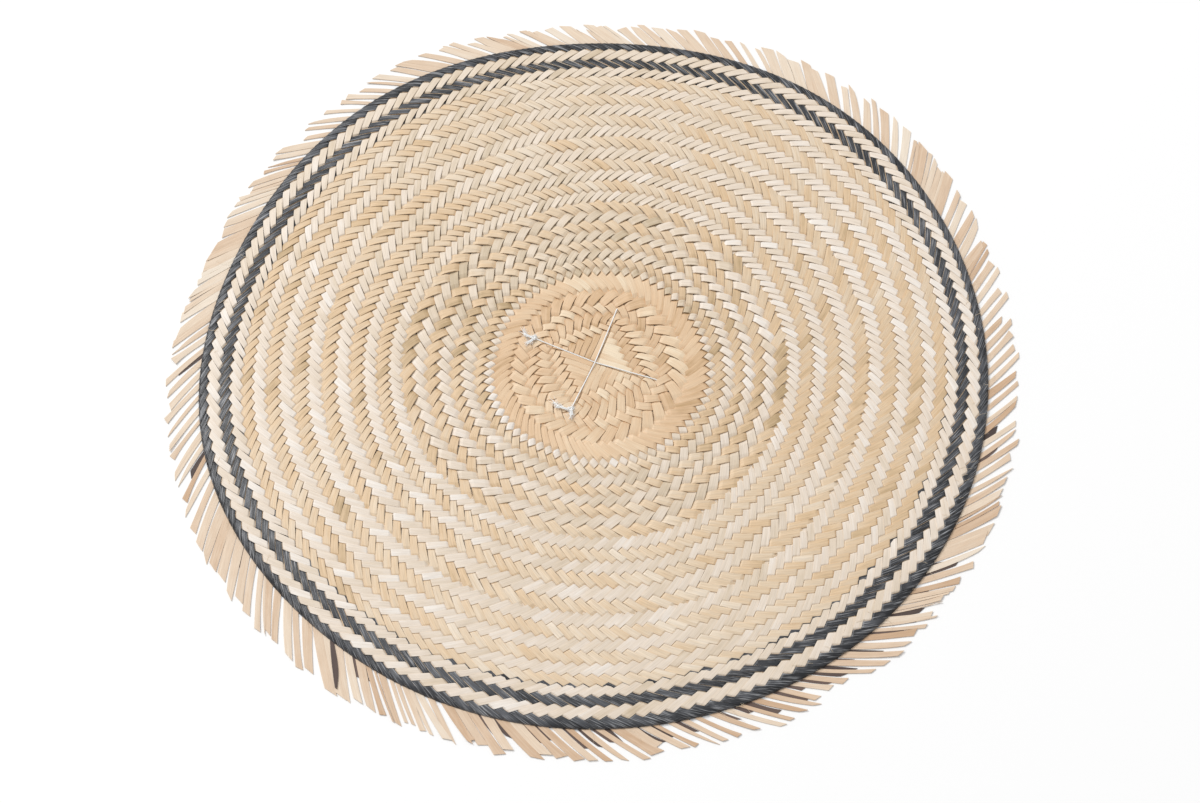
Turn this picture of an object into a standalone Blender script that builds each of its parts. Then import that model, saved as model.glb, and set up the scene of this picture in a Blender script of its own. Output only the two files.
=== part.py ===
"""Round placemat woven from palm-leaf strips.

The mat is one flat disc with a thicker, rolled rim. The ends of its strips come out from
under the rim as a leaning fringe. Two long thread stitches, each knotted at one end, cross
over the middle. The mat lies in the XY plane, its underside at Z = 0, its axis on Z.
"""
import math
import random

import bmesh
import bpy
from mathutils import Vector

MM = 0.001

# Driving dimensions, in metres
RIM_RADIUS = 175 * MM
GAP = 0.3 * MM                      # between pieces that touch on the real mat
FRINGE_THICKNESS = 1.0 * MM
REBATE_SHARE = 0.975                # the fringe is tucked in under the rim from this radius
RIM_UNDERSIDE = FRINGE_THICKNESS + GAP
THREAD_DIAMETER = 0.8 * MM

# The turned section of the mat's top, from the middle out. The ridges are the ring of
# small beads round the start, the two rings where strips were added, and the rolled rim.
TOP_SECTION = (
    # share of the rim radius, height in mm
    (0.000, 1.90),
    (0.100, 2.00),
    (0.200, 1.90),
    (0.262, 1.80),
    (0.283, 2.10),
    (0.305, 1.80),
    (0.400, 1.90),
    (0.495, 1.80),
    (0.515, 2.00),
    (0.540, 1.85),
    (0.620, 1.90),
    (0.695, 1.80),
    (0.715, 2.00),
    (0.740, 1.85),
    (0.820, 1.90),
    (0.880, 1.85),
    (0.935, 2.10),
    (0.965, 2.00),
    (0.985, 2.45),
    (0.996, 2.35),
    (1.000, 1.90),
)

# The rim isn't a true circle: waves run round it, on top of the mean radius.
RIM_WAVES = (
    # waves round the rim, height as a share of the radius, phase in degrees
    (3, 0.0036, -162),
    (4, 0.0036, 130),
    (5, 0.0046, -122),
    (6, 0.0023, 25),
)

# The top rises and falls a little round the mat.
TOP_WAVES = (
    # waves round the mat, height in mm at the rim, phase in degrees
    (2, 0.10, 40),
    (3, 0.08, -75),
    (7, 0.05, 110),
)

# How far the fringe reaches, counter-clockwise from +X.
FRINGE_REACH = (
    # angle in degrees, radius as a share of the rim radius
    (0, 1.083),
    (30, 1.088),
    (60, 1.076),
    (90, 1.063),
    (120, 1.068),
    (150, 1.070),
    (180, 1.089),
    (210, 1.104),
    (225, 1.107),
    (240, 1.091),
    (270, 1.087),
    (300, 1.090),
    (330, 1.090),
    (360, 1.083),
)

# Stitches, in shares of the rim radius: where each is knotted and where it goes down
# into the weave, with the tips of the two tails that leave the knot.
STITCHES = (
    # name, knot, far end, long tail's tip, short tail's tip, passes over the other
    ("thread_across", (-0.154, 0.086), (0.157, -0.050), (-0.181, 0.111), (-0.175, 0.068), False),
    ("thread_along", (-0.066, -0.126), (0.062, 0.166), (-0.109, -0.099), (-0.068, -0.152), True),
)

MAT_SEGMENTS = 96
TOOTH_COUNT = 144
TOOTH_LEAN = math.radians(45)       # the strips lean this far round from straight out
FRINGE_SEED = 5
STITCH_POINTS = 17
TAIL_POINTS = 5
KNOT_SIZE = 2.0                     # times the thread's diameter
HUMP_REACH = 0.035                  # half the length of a crossing's hump, share of the radius
KNOT_LIFT = THREAD_DIAMETER / 2 * (KNOT_SIZE - 1)
MERGE = 0.01 * MM


def collection_named(name):
    made = bpy.data.collections.new(name)
    bpy.context.scene.collection.children.link(made)
    return made


def material_named(name, colour, roughness):
    made = bpy.data.materials.new(name)
    made.use_nodes = True
    shader = made.node_tree.nodes["Principled BSDF"]
    shader.inputs["Base Color"].default_value = (*colour, 1.0)
    shader.inputs["Roughness"].default_value = roughness
    shader.inputs["Metallic"].default_value = 0.0
    return made


def evaluated_mesh(source, name):
    """The mesh of an object with its modifiers, as a mesh of its own."""
    bpy.context.view_layer.update()
    graph = bpy.context.evaluated_depsgraph_get()
    mesh = bpy.data.meshes.new_from_object(source.evaluated_get(graph))
    mesh.name = name
    return mesh


def weld(mesh):
    work = bmesh.new()
    work.from_mesh(mesh)
    bmesh.ops.remove_doubles(work, verts=work.verts, dist=MERGE)
    work.to_mesh(mesh)
    work.free()


def rim_wave(angle):
    """How far the rim is from its mean radius at an angle, as a share of the radius."""
    return sum(
        height * math.cos(count * angle - math.radians(phase))
        for count, height, phase in RIM_WAVES
    )


def top_wave(radius, angle):
    """How far the top rises at a place, in metres; nothing at the middle."""
    rise = sum(
        height * math.cos(count * angle - math.radians(phase))
        for count, height, phase in TOP_WAVES
    )
    return rise * MM * radius / RIM_RADIUS


def uneven_radius(radius, angle):
    """A radius with the rim's waves, which fade out towards the middle."""
    return radius * (1 + rim_wave(angle) * (radius / RIM_RADIUS) ** 2)


def top_height(x, y):
    """The height of the mat's top at a place, in metres."""
    radius, angle = math.hypot(x, y), math.atan2(y, x)
    share = radius / RIM_RADIUS
    for (low, low_height), (high, high_height) in zip(TOP_SECTION, TOP_SECTION[1:]):
        if share <= high:
            along = (share - low) / (high - low)
            height = low_height + along * (high_height - low_height)
            return height * MM + top_wave(radius, angle)
    return TOP_SECTION[-1][1] * MM


def section_object(name, points, collection):
    """The half section of a turned piece, as an open line of edges."""
    mesh = bpy.data.meshes.new(name)
    edges = [(i, i + 1) for i in range(len(points) - 1)]
    mesh.from_pydata([(radius, 0, height) for radius, height in points], edges, [])
    made = bpy.data.objects.new(name, mesh)
    collection.objects.link(made)
    return made


def make_mat(collection, material):
    """Turns the section round Z, then gives the disc its uneven rim and top."""
    top = [(share * RIM_RADIUS, height * MM) for share, height in TOP_SECTION]
    rebate = REBATE_SHARE * RIM_RADIUS
    under = [(0.996 * RIM_RADIUS, RIM_UNDERSIDE), (rebate, RIM_UNDERSIDE), (rebate, 0), (0, 0)]
    section = section_object("mat_section", top + under, collection)
    turn = section.modifiers.new("turn", "SCREW")
    turn.steps = turn.render_steps = MAT_SEGMENTS
    turn.use_merge_vertices = True
    turn.merge_threshold = MERGE
    mesh = evaluated_mesh(section, "mat")
    bpy.data.objects.remove(section)
    weld(mesh)
    for vertex in mesh.vertices:
        x, y, z = vertex.co
        radius, angle = math.hypot(x, y), math.atan2(y, x)
        moved = uneven_radius(radius, angle)
        if z > RIM_UNDERSIDE + GAP:
            z += top_wave(radius, angle)
        vertex.co = (moved * math.cos(angle), moved * math.sin(angle), z)
    mesh.shade_smooth()
    mesh.set_sharp_from_angle(angle=math.radians(40))
    mesh.materials.append(material)
    made = bpy.data.objects.new("mat", mesh)
    collection.objects.link(made)
    return made


def reach_at(angle):
    """The fringe's radius at an angle, as a share of the rim radius."""
    degrees = math.degrees(angle) % 360
    for (low, low_reach), (high, high_reach) in zip(FRINGE_REACH, FRINGE_REACH[1:]):
        if degrees <= high:
            return low_reach + (high_reach - low_reach) * (degrees - low) / (high - low)
    return FRINGE_REACH[-1][1]


def leaning(start, radius):
    """The angle at a radius of a line that leans round from its start at the rim."""
    return start + math.tan(TOOTH_LEAN) * math.log(radius / RIM_RADIUS)


def tooth(start, pitch, draw):
    """The four corners of one strip end, as (radius, angle): up one side, down the other."""
    width = pitch * draw.uniform(0.66, 0.90)
    root = RIM_RADIUS * draw.uniform(1.002, 1.010)
    reach = reach_at(start + pitch) + draw.uniform(-0.010, 0.002)
    cut = draw.uniform(-0.004, 0.004)
    tip = RIM_RADIUS * (reach - cut)
    far_tip = RIM_RADIUS * (reach + cut)
    near_side = start + pitch * draw.uniform(0.0, 0.04)
    far_side = start + width
    return (
        (root, leaning(start, root)),
        (tip, leaning(near_side, tip)),
        (far_tip, leaning(far_side - pitch * draw.uniform(0.0, 0.10), far_tip)),
        (root, leaning(far_side, root)),
    )


def flat_spline(curve, places):
    """Adds one closed outline of (radius, angle) places to a flat curve."""
    spline = curve.splines.new("POLY")
    spline.points.add(len(places) - 1)
    for point, (radius, angle) in zip(spline.points, places):
        wide = uneven_radius(radius, angle)
        point.co = (wide * math.cos(angle), wide * math.sin(angle), 0, 1)
    spline.use_cyclic_u = True


def make_fringe(collection, material):
    """One comb: a band under the rim, and a tooth for each strip end or pair of ends."""
    draw = random.Random(FRINGE_SEED)
    pitch = math.tau / TOOTH_COUNT
    comb = []
    for i in range(TOOTH_COUNT):
        comb += tooth(i * pitch, pitch, draw)
    inner_radius = REBATE_SHARE * RIM_RADIUS + GAP
    inner = [(inner_radius, math.tau * i / MAT_SEGMENTS) for i in range(MAT_SEGMENTS)]
    curve = bpy.data.curves.new("fringe", "CURVE")
    curve.dimensions = "2D"
    curve.fill_mode = "BOTH"
    curve.extrude = FRINGE_THICKNESS / 2
    flat_spline(curve, comb)
    flat_spline(curve, inner)
    curve.materials.append(material)
    made = bpy.data.objects.new("fringe", curve)
    made.location.z = FRINGE_THICKNESS / 2
    collection.objects.link(made)
    return made


def tube(name, points, radii, collection):
    """A round cord through the points, with a radius factor for each, as a closed mesh."""
    curve = bpy.data.curves.new(name, "CURVE")
    curve.dimensions = "3D"
    curve.fill_mode = "FULL"
    curve.bevel_depth = THREAD_DIAMETER / 2
    curve.bevel_resolution = 2
    curve.use_fill_caps = True
    spline = curve.splines.new("POLY")
    spline.points.add(len(points) - 1)
    for spot, place, radius in zip(spline.points, points, radii):
        spot.co = (*place, 1)
        spot.radius = radius
    source = bpy.data.objects.new(name, curve)
    collection.objects.link(source)
    mesh = evaluated_mesh(source, name)
    bpy.data.objects.remove(source)
    weld(mesh)
    made = bpy.data.objects.new(name, mesh)
    collection.objects.link(made)
    return made


def on_top(place, lift=0.0):
    """A point on a thread's centre line that lies on the mat."""
    x, y = place[0] * RIM_RADIUS, place[1] * RIM_RADIUS
    return Vector((x, y, top_height(x, y) + GAP + THREAD_DIAMETER / 2 + lift))


def between(start, end, count):
    """Places evenly spaced from start to end, both included."""
    return [
        tuple(a + (b - a) * i / (count - 1) for a, b in zip(start, end)) for i in range(count)
    ]


def stitch_line(row, crossing):
    """A stitch's route from its long tail's tip to its far end: points and radius factors."""
    _, knot, end, long_tail, _, over = row
    tail = between(long_tail, knot, TAIL_POINTS)
    run = between(knot, end, STITCH_POINTS)
    hump = THREAD_DIAMETER + GAP
    points, radii = [], []
    for i, place in enumerate(tail + run[1:]):
        away = math.dist(place, crossing) / HUMP_REACH
        raised = hump * max(0.0, 1 - away ** 2) if over else 0.0
        is_knot = i == TAIL_POINTS - 1
        points.append(on_top(place, KNOT_LIFT if is_knot else raised))
        radii.append(KNOT_SIZE if is_knot else 1.0)
    return points, radii


def make_stitch(row, crossing, collection, material):
    """One stitch: a tail, the knot, the long run, and a second tail joined to the knot."""
    name, knot, _, _, short_tail, _ = row
    main = tube(name, *stitch_line(row, crossing), collection)
    side_points = [
        on_top(place, 0.0 if i else KNOT_LIFT)
        for i, place in enumerate(between(knot, short_tail, TAIL_POINTS))
    ]
    side = tube(name + "_side", side_points, [1.0] * TAIL_POINTS, collection)
    join = main.modifiers.new("join", "BOOLEAN")
    join.operation = "UNION"
    join.object = side
    mesh = evaluated_mesh(main, name)
    bpy.data.objects.remove(side)
    main.modifiers.clear()
    main.data = mesh
    mesh.shade_smooth()
    mesh.materials.clear()
    mesh.materials.append(material)
    return main


def crossing_of(rows):
    """Where the two stitches cross, in shares of the rim radius."""
    (_, a, b, *_), (_, c, d, *_) = rows
    first = Vector(b) - Vector(a)
    second = Vector(d) - Vector(c)
    apart = Vector(c) - Vector(a)
    along = apart.cross(second) / first.cross(second)
    return tuple(Vector(a) + along * first)


def build():
    for old in list(bpy.data.objects):
        bpy.data.objects.remove(old)
    parts = collection_named("woven_placemat")
    leaf = material_named("palm_leaf", (0.74, 0.56, 0.36), 0.62)
    leaf_ends = material_named("palm_leaf_ends", (0.78, 0.58, 0.38), 0.62)
    cotton = material_named("cotton_thread", (0.88, 0.87, 0.85), 0.85)
    make_mat(parts, leaf)
    make_fringe(parts, leaf_ends)
    crossing = crossing_of(STITCHES)
    for row in STITCHES:
        make_stitch(row, crossing, parts, cotton)


build()
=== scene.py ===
"""Looks of the round woven placemat: each strip of the weave as a thin ribbon that runs over
and under, the leaning fringe, stray fibres and two stitches of thread."""
import math
from math import pi, radians, tau

import bpy
import numpy as np
from mathutils import Matrix, Vector


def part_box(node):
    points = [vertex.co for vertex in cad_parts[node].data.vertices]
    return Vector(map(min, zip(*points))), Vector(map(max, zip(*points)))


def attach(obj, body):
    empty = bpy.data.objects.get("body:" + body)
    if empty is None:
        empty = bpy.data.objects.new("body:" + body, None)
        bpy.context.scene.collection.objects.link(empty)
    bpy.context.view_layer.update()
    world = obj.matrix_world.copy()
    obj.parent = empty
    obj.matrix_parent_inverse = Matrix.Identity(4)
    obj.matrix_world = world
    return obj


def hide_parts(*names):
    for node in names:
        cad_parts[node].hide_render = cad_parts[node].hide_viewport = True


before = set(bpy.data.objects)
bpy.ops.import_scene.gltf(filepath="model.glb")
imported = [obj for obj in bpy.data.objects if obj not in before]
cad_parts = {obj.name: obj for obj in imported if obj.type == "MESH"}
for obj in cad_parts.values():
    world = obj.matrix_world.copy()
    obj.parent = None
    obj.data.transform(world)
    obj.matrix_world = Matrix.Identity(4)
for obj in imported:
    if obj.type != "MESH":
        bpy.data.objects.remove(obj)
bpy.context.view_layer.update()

MM = 0.001
SEED = 11

# ---- sizes

# Waves in the rim, the rows and how the strips are spread: how many round the mat, their
# height, the phase they gain from the middle to the rim and the one they start with.
RIM_WAVES = (
    (3, 0.0036, 0.0, radians(162)),
    (4, 0.0036, 0.0, radians(-130)),
    (5, 0.0046, 0.0, radians(122)),
    (6, 0.0023, 0.0, radians(-25)),
)
ROW_WAVES = (
    (3, 0.0042, 5.0, 0.6),
    (5, 0.0034, -4.0, 2.1),
    (9, 0.0016, 9.0, 0.0),
)
SPREAD_WAVES = (
    (1, -0.052, 0.0, radians(-95)),
    (2, -0.010, 0.0, 0.4),
    (5, 0.006, 7.0, 0.0),
    (11, 0.004, -5.0, 0.0),
)
# The rings near the beads lie off the middle, by a share of the rim radius.
OFF_MIDDLE, OFF_AT, OFF_WITHIN = 0.016, 0.27, 0.17
# The border is a little oval and off the middle, from a radius outwards but for the rim.
BORDER_FROM, BORDER_FULL, RIM_FREE = 0.72, 0.14, 0.03
BORDER_OVAL, OVAL_ANGLE = 0.0045, radians(116)
BORDER_SHIFT, SHIFT_ANGLE = 0.0018, radians(280)


def alternating(first, *depths):
    """Rows of a zone, from the inside out. In a cw row the strips that lean clockwise on
    their way out lie on top, in a ccw row the others. A row is as many crossings deep as its
    steps and reaches a share of the rim radius."""
    tops = ("cw", "ccw") if first == "cw" else ("ccw", "cw")
    return [(tops[k % 2], steps, outer) for k, (steps, outer) in enumerate(depths)]


CENTRE_ROWS = alternating("cw", (6, 0.097), (2, 0.121), (2, 0.157), (2, 0.181), (2, 0.222))
INNER_ROWS = alternating(
    "ccw", (4, 0.2715), (1, 0.2905), (2, 0.3165), (2, 0.3465), (2, 0.373), (2, 0.402),
    (2, 0.431), (2, 0.461), (2, 0.492),
)
MIDDLE_ROWS = alternating(
    "cw", (3, 0.524), (3, 0.557), (3, 0.590), (3, 0.625), (3, 0.662), (3, 0.698),
)
OUTER_ROWS = alternating(
    "cw", (3, 0.733), (3, 0.768), (3, 0.802), (3, 0.835), (3, 0.866), (3, 0.893),
    (3, 0.9215), (3, 0.9485), (3, 0.979), (2, 0.9965),
)
BEAD_ROW = 1  # of the inner rows
BLACK_ROW = 6  # of the outer rows: the dyed strips start under it

# The fringe, counter-clockwise from +X: angle in degrees, reach in rim radii, width at the
# tips in spacings, share of the way out where the gaps start, lean in degrees.
FRINGE = (
    (0, 1.082, 0.68, 0.15, 46), (15, 1.078, 0.70, 0.15, 44),
    (30, 1.088, 0.76, 0.15, 43), (45, 1.080, 0.62, 0.15, 46),
    (60, 1.074, 0.62, 0.10, 48), (75, 1.068, 0.80, 0.35, 50),
    (90, 1.062, 0.74, 0.25, 52), (105, 1.066, 0.74, 0.25, 53),
    (120, 1.067, 0.56, 0.10, 53), (137, 1.066, 0.60, 0.05, 52),
    (150, 1.074, 0.86, 0.35, 52), (160, 1.078, 0.92, 0.40, 51),
    (168, 1.084, 0.80, 0.15, 50), (176, 1.087, 0.50, 0.05, 50),
    (190, 1.089, 0.52, 0.05, 50), (200, 1.097, 0.80, 0.15, 49),
    (215, 1.103, 0.72, 0.10, 49), (225, 1.107, 0.82, 0.20, 49),
    (235, 1.096, 0.76, 0.10, 49), (247, 1.088, 0.82, 0.20, 50),
    (262, 1.083, 0.68, 0.05, 50), (277, 1.083, 0.68, 0.05, 51),
    (292, 1.085, 0.62, 0.05, 51), (307, 1.087, 0.64, 0.10, 51),
    (322, 1.085, 0.76, 0.20, 53), (337, 1.087, 0.62, 0.05, 51),
    (350, 1.084, 0.64, 0.10, 48),
)

STRIP_THICKNESS = 0.60 * MM
BLACK_THICKNESS = 0.34 * MM
RISE = 0.52 * MM  # how far the middle of a strip under others is below mid
MID_HEIGHT = RISE + STRIP_THICKNESS / 2 + 0.04 * MM
BORDER_LIFT = 0.15 * MM  # what the extra black strips add under the top ones
BORDER_RISE = 0.28 * MM  # rise of the tan strips that carry the black ones
STEEPEST = 0.22  # a strip takes at most this share of a row to dive
CREASE = 0.10  # steps that a strip bends over before it lies flat
BLACK_ARCH = 0.16 * MM  # how much higher a black strip is at a row's middle
SHINGLE = 0.14 * MM  # how much the inner edge of a strip stands over its middle
TUCK = 1.6  # steps that the strips of one zone run on into the next
TUCKED = -0.9 * RISE  # height of what runs on, over mid height
SHORTEST = 0.2  # steps; a row that is cut shorter counts as this long
PINCH_STEPS = 1.7  # steps in which a pinched strip gets back its full width


def unit(numbers):
    """The numbers, kept between 0 and 1."""
    return np.clip(numbers, 0, 1)


def waves(shape, table, angle, share=0.0):
    return sum(height * shape(count * angle + gain * share + phase)
               for count, height, gain, phase in table)


def rim_radius():
    """The mean radius of the rim, from the width of the CAD mat."""
    turn = np.linspace(0, tau, 1441)
    width = np.ptp((1 + waves(np.cos, RIM_WAVES, turn)) * np.cos(turn))
    low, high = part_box("mat")
    return (high.x - low.x) / width


RADIUS = rim_radius()


def waved(share, angle):
    """A radius, as a share of the rim's, with the waves that the rows take round the mat."""
    near = unit(1 - np.abs(share - OFF_AT) / OFF_WITHIN)
    drift = waves(np.cos, ROW_WAVES, angle, share) + OFF_MIDDLE * np.cos(angle) * near
    drift = unit(4 * share * (1 - share)) * drift
    border = unit((share - BORDER_FROM) / BORDER_FULL)
    border = border * unit((1 - share) / RIM_FREE)
    drift -= border * BORDER_OVAL * np.cos(2 * (angle - OVAL_ANGLE))
    drift -= border * BORDER_SHIFT * np.cos(angle - SHIFT_ANGLE)
    return share * (1 + waves(np.cos, RIM_WAVES, angle) * share ** 2) + drift


def spaced(angle, share):
    """An angle shifted a little, so that strips are crowded here and open there."""
    shift = waves(np.sin, SPREAD_WAVES, angle, share)
    return angle + shift * unit(share * 1.6 - 0.3)


def polar(radius, angle):
    return radius * np.cos(angle), radius * np.sin(angle)


def plane_place(share, angle):
    """Polar places, in shares of the rim radius, as x and y in metres."""
    turned = spaced(angle, share)
    return polar(waved(share, turned) * RADIUS, turned)


# ---- the lattice

# A zone's lattice has two numbers, a and b. The counter-clockwise strips keep to one unit
# of a and the clockwise ones to one unit of b. b - a counts crossings outwards (steps), and
# a + b turns round the mat.

class Zone:
    """A ring of the mat that has the same number of strips all over. Its strips rise to top
    over mid height, take dive steps to get there and stand arch higher at a row's middle.
    Their outer edge is cut back by pinch, a share of the spacing, where a crossing starts."""

    def __init__(self, rows, strips, inner, gap, pinch, dark_share, top, dive, arch,
                 first_knot=-0.5, black_row=None, pale=0.0, pale_row=None):
        self.rows, self.strips = rows, strips
        self.gap, self.dark_share = gap, dark_share
        self.top, self.dive, self.arch = top, dive, arch
        self.pale, self.pale_row = pale, pale_row
        self.pinch = np.full(len(rows), pinch)
        counts = [steps for _, steps, _ in rows]
        self.knots = first_knot + np.concatenate([[0], np.cumsum(counts)])
        self.shares = np.array([inner] + [outer for _, _, outer in rows])
        self.lift_from = None if black_row is None else self.knots[black_row]

    def share(self, steps):
        """The radius at a number of steps, as a share of the rim's; it runs on at the ends."""
        slopes = np.diff(self.shares) / np.diff(self.knots)
        inside = np.interp(steps, self.knots, self.shares)
        inside = inside + np.minimum(steps - self.knots[0], 0) * slopes[0]
        return inside + np.maximum(steps - self.knots[-1], 0) * slopes[-1]

    def place(self, a, b, _quarter=None):
        return plane_place(self.share(b - a), (a + b) * pi / self.strips)

    def on_top(self, family):
        """For each row, whether the family lies on top."""
        return np.array([top == family for top, _, _ in self.rows])

    def row(self, steps):
        """The number of the row that a number of steps lies in."""
        last = len(self.rows) - 1
        return np.clip(np.searchsorted(self.knots, steps, side="right") - 1, 0, last)

    def pinched(self, steps):
        """How much of the spacing a strip's outer edge is cut back there."""
        row = self.row(steps)
        return self.pinch[row] * unit(1 - (steps - self.knots[row]) / PINCH_STEPS)

    def stations(self, family, start=None):
        """Where along a strip its sections are, in steps: close together where it dives."""
        marks = [self.knots[0] - TUCK] if start is None else []
        for over, low, high in zip(self.on_top(family), self.knots, self.knots[1:]):
            low = low if start is None else max(low, start)
            span = high - low
            if span < 0.5:
                continue
            dive = min(self.dive, STEEPEST * span)
            marks += [low, low + dive]
            if over:
                flat = min(dive + CREASE, span / 2 - 0.02)
                marks += [*np.linspace(low + flat, high - flat, max(2, round(span / 2) + 2))]
            marks.append(high - dive)
        return np.array(marks + [self.knots[-1], self.knots[-1] + TUCK])

    def rise(self, family, steps, start=None, arch=None):
        """The height of a strip's middle over the mat's mid height, in metres."""
        arch = self.arch if arch is None else arch
        row = self.row(steps)
        over = self.on_top(family)[row]
        first, end = self.knots[row], self.knots[row + 1]
        if start is not None:
            first = np.maximum(first, start)
        length = np.maximum(end - first, SHORTEST)
        dive = np.minimum(self.dive, STEEPEST * length)
        near = np.minimum(steps - first, end - steps)
        depth = np.sin(unit(near / dive) * pi / 2)
        top = self.top
        if self.lift_from is not None:
            lifted = RISE + BORDER_LIFT if family == "cw" else BORDER_RISE
            top = self.top + (lifted - self.top) * unit(steps - self.lift_from)
        bow = np.sin(unit((steps - first) / length) * pi)
        height = depth * np.where(over, top, -RISE) + np.where(over, bow * arch, 0)
        outside = (steps < self.knots[0]) | (steps > self.knots[-1])
        return np.where(outside, TUCKED, height)


INNER = Zone(INNER_ROWS, 72, CENTRE_ROWS[-1][2], gap=0.015, pinch=0.05,
             dark_share=0.02, top=0.66 * MM, dive=0.40, arch=0.20 * MM, pale=-0.05,
             pale_row=BEAD_ROW)
MIDDLE = Zone(MIDDLE_ROWS, 144, INNER_ROWS[-1][2], gap=-0.01, pinch=0.10,
              dark_share=0.01, top=0.56 * MM, dive=0.26, arch=0.22 * MM, pale=0.06)
OUTER = Zone(OUTER_ROWS, 180, MIDDLE_ROWS[-1][2], gap=-0.02, pinch=0.10,
             dark_share=0.005, top=0.52 * MM, dive=0.20, arch=0.19 * MM,
             black_row=BLACK_ROW, pale=0.07)
OUTER.pinch[BLACK_ROW] = 0.20  # the first ends of the dyed strips show in its slits

# The mat starts as a square of strips laid straight, QUARTER strips to each side of the
# middle, turned to the stitches. It grows into a round disc.
QUARTER = 9
START_STRIP = 0.0160  # width of a strip in the square start, share of the radius
START_ANGLE = radians(-24)
START_MIDDLE = (0.001, 0.010)
SQUARE_UNTIL, ROUND_FROM = 5.5, 12.0


def rotated(x, y, angle):
    cos, sin = np.cos(angle), np.sin(angle)
    return x * cos - y * sin, x * sin + y * cos


class Centre(Zone):
    """The disc at the middle: four quarters of straight strips that open out into rings."""

    def place(self, a, b, quarter=None):
        steps = np.maximum(b - a, 1e-6)
        within = np.where(steps < QUARTER, unit(b / steps), 0.5 + (a + b) / (2 * QUARTER))
        turn = quarter + within
        side = np.floor(turn)
        along = turn - side
        out = steps * START_STRIP
        square = np.array(rotated(out * (1 - along), out * along, side * pi / 2))
        ring = np.array(polar(self.share(steps), turn * pi / 2))
        mix = unit((steps - SQUARE_UNTIL) / (ROUND_FROM - SQUARE_UNTIL))
        mix = mix * mix * (3 - 2 * mix)
        x, y = rotated(*(square * (1 - mix) + ring * mix), START_ANGLE)
        x += START_MIDDLE[0] * (1 - mix)
        y += START_MIDDLE[1] * (1 - mix)
        return plane_place(np.hypot(x, y), np.arctan2(y, x))


CENTRE = Centre(CENTRE_ROWS, 4 * QUARTER, 0.0, gap=0.01, pinch=0.06,
                dark_share=0.0, top=0.64 * MM, dive=0.36, arch=0.14 * MM, first_knot=0.5)


# ---- ribbons

# The corners of a strip's section: 0 for left, 1 middle, 2 right, and whether it is on top.
SECTION = ((0, True), (1, True), (2, True), (2, False), (0, False))
CROWN = 0.08 * MM  # how much a strip's middle stands over its edges
EDGE_CROWN = 0.05 * MM  # the same for dyed strips and strip ends
LOWEST = 0.02 * MM  # what would hang lower lies flat on the table
ATLAS_ACROSS = (0.02, 0.25, 0.48, 0.52, 0.94, 0.98)  # where the sides lie on the baked map
ATLAS_CAP = 0.006  # size of a strip's end on the baked map


def linked(name, data):
    """A new object in the scene."""
    made = bpy.data.objects.new(name, data)
    bpy.context.scene.collection.objects.link(made)
    return made


def signed_volume(points, quads):
    a, b, c, d = points[quads.T]
    return (a * np.cross(b, c)).sum() + (a * np.cross(c, d)).sum()


def walls(number):
    """The faces between rings of points, from the points' numbers, ring after ring."""
    here, after = number[..., :-1, :], number[..., 1:, :]
    quads = np.stack([here, np.roll(here, -1, -1), np.roll(after, -1, -1), after], -1)
    return quads.reshape(-1, 4)


class Parts:
    """Gathers closed parts, given as points and the corners of their faces, in one mesh.
    Draws the random numbers for them."""

    def __init__(self, seed):
        self.draw = np.random.default_rng(seed)
        self.points, self.quads, self.triangles = [], [], []
        self.count = 0

    def gather(self, points, quads, triangles):
        self.points.append(points)
        self.quads.append(quads + self.count)
        self.triangles.append(triangles + self.count)
        self.count += len(points)

    def build(self, name):
        points = np.concatenate(self.points)
        quads, triangles = np.concatenate(self.quads), np.concatenate(self.triangles)
        mesh = bpy.data.meshes.new(name)
        mesh.vertices.add(len(points))
        mesh.vertices.foreach_set("co", points.astype(np.float32).ravel())
        corners = np.concatenate([quads.ravel(), triangles.ravel()]).astype(np.int32)
        sizes = np.repeat([4, 3], [len(quads), len(triangles)])
        mesh.loops.add(len(corners))
        mesh.loops.foreach_set("vertex_index", corners)
        mesh.polygons.add(len(sizes))
        starts = np.cumsum(sizes) - sizes
        mesh.polygons.foreach_set("loop_start", starts.astype(np.int32))
        mesh.update(calc_edges=True)
        mesh.validate()
        mesh.polygons.foreach_set("use_smooth", np.ones(len(mesh.polygons), bool))
        return linked(name, mesh)


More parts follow.
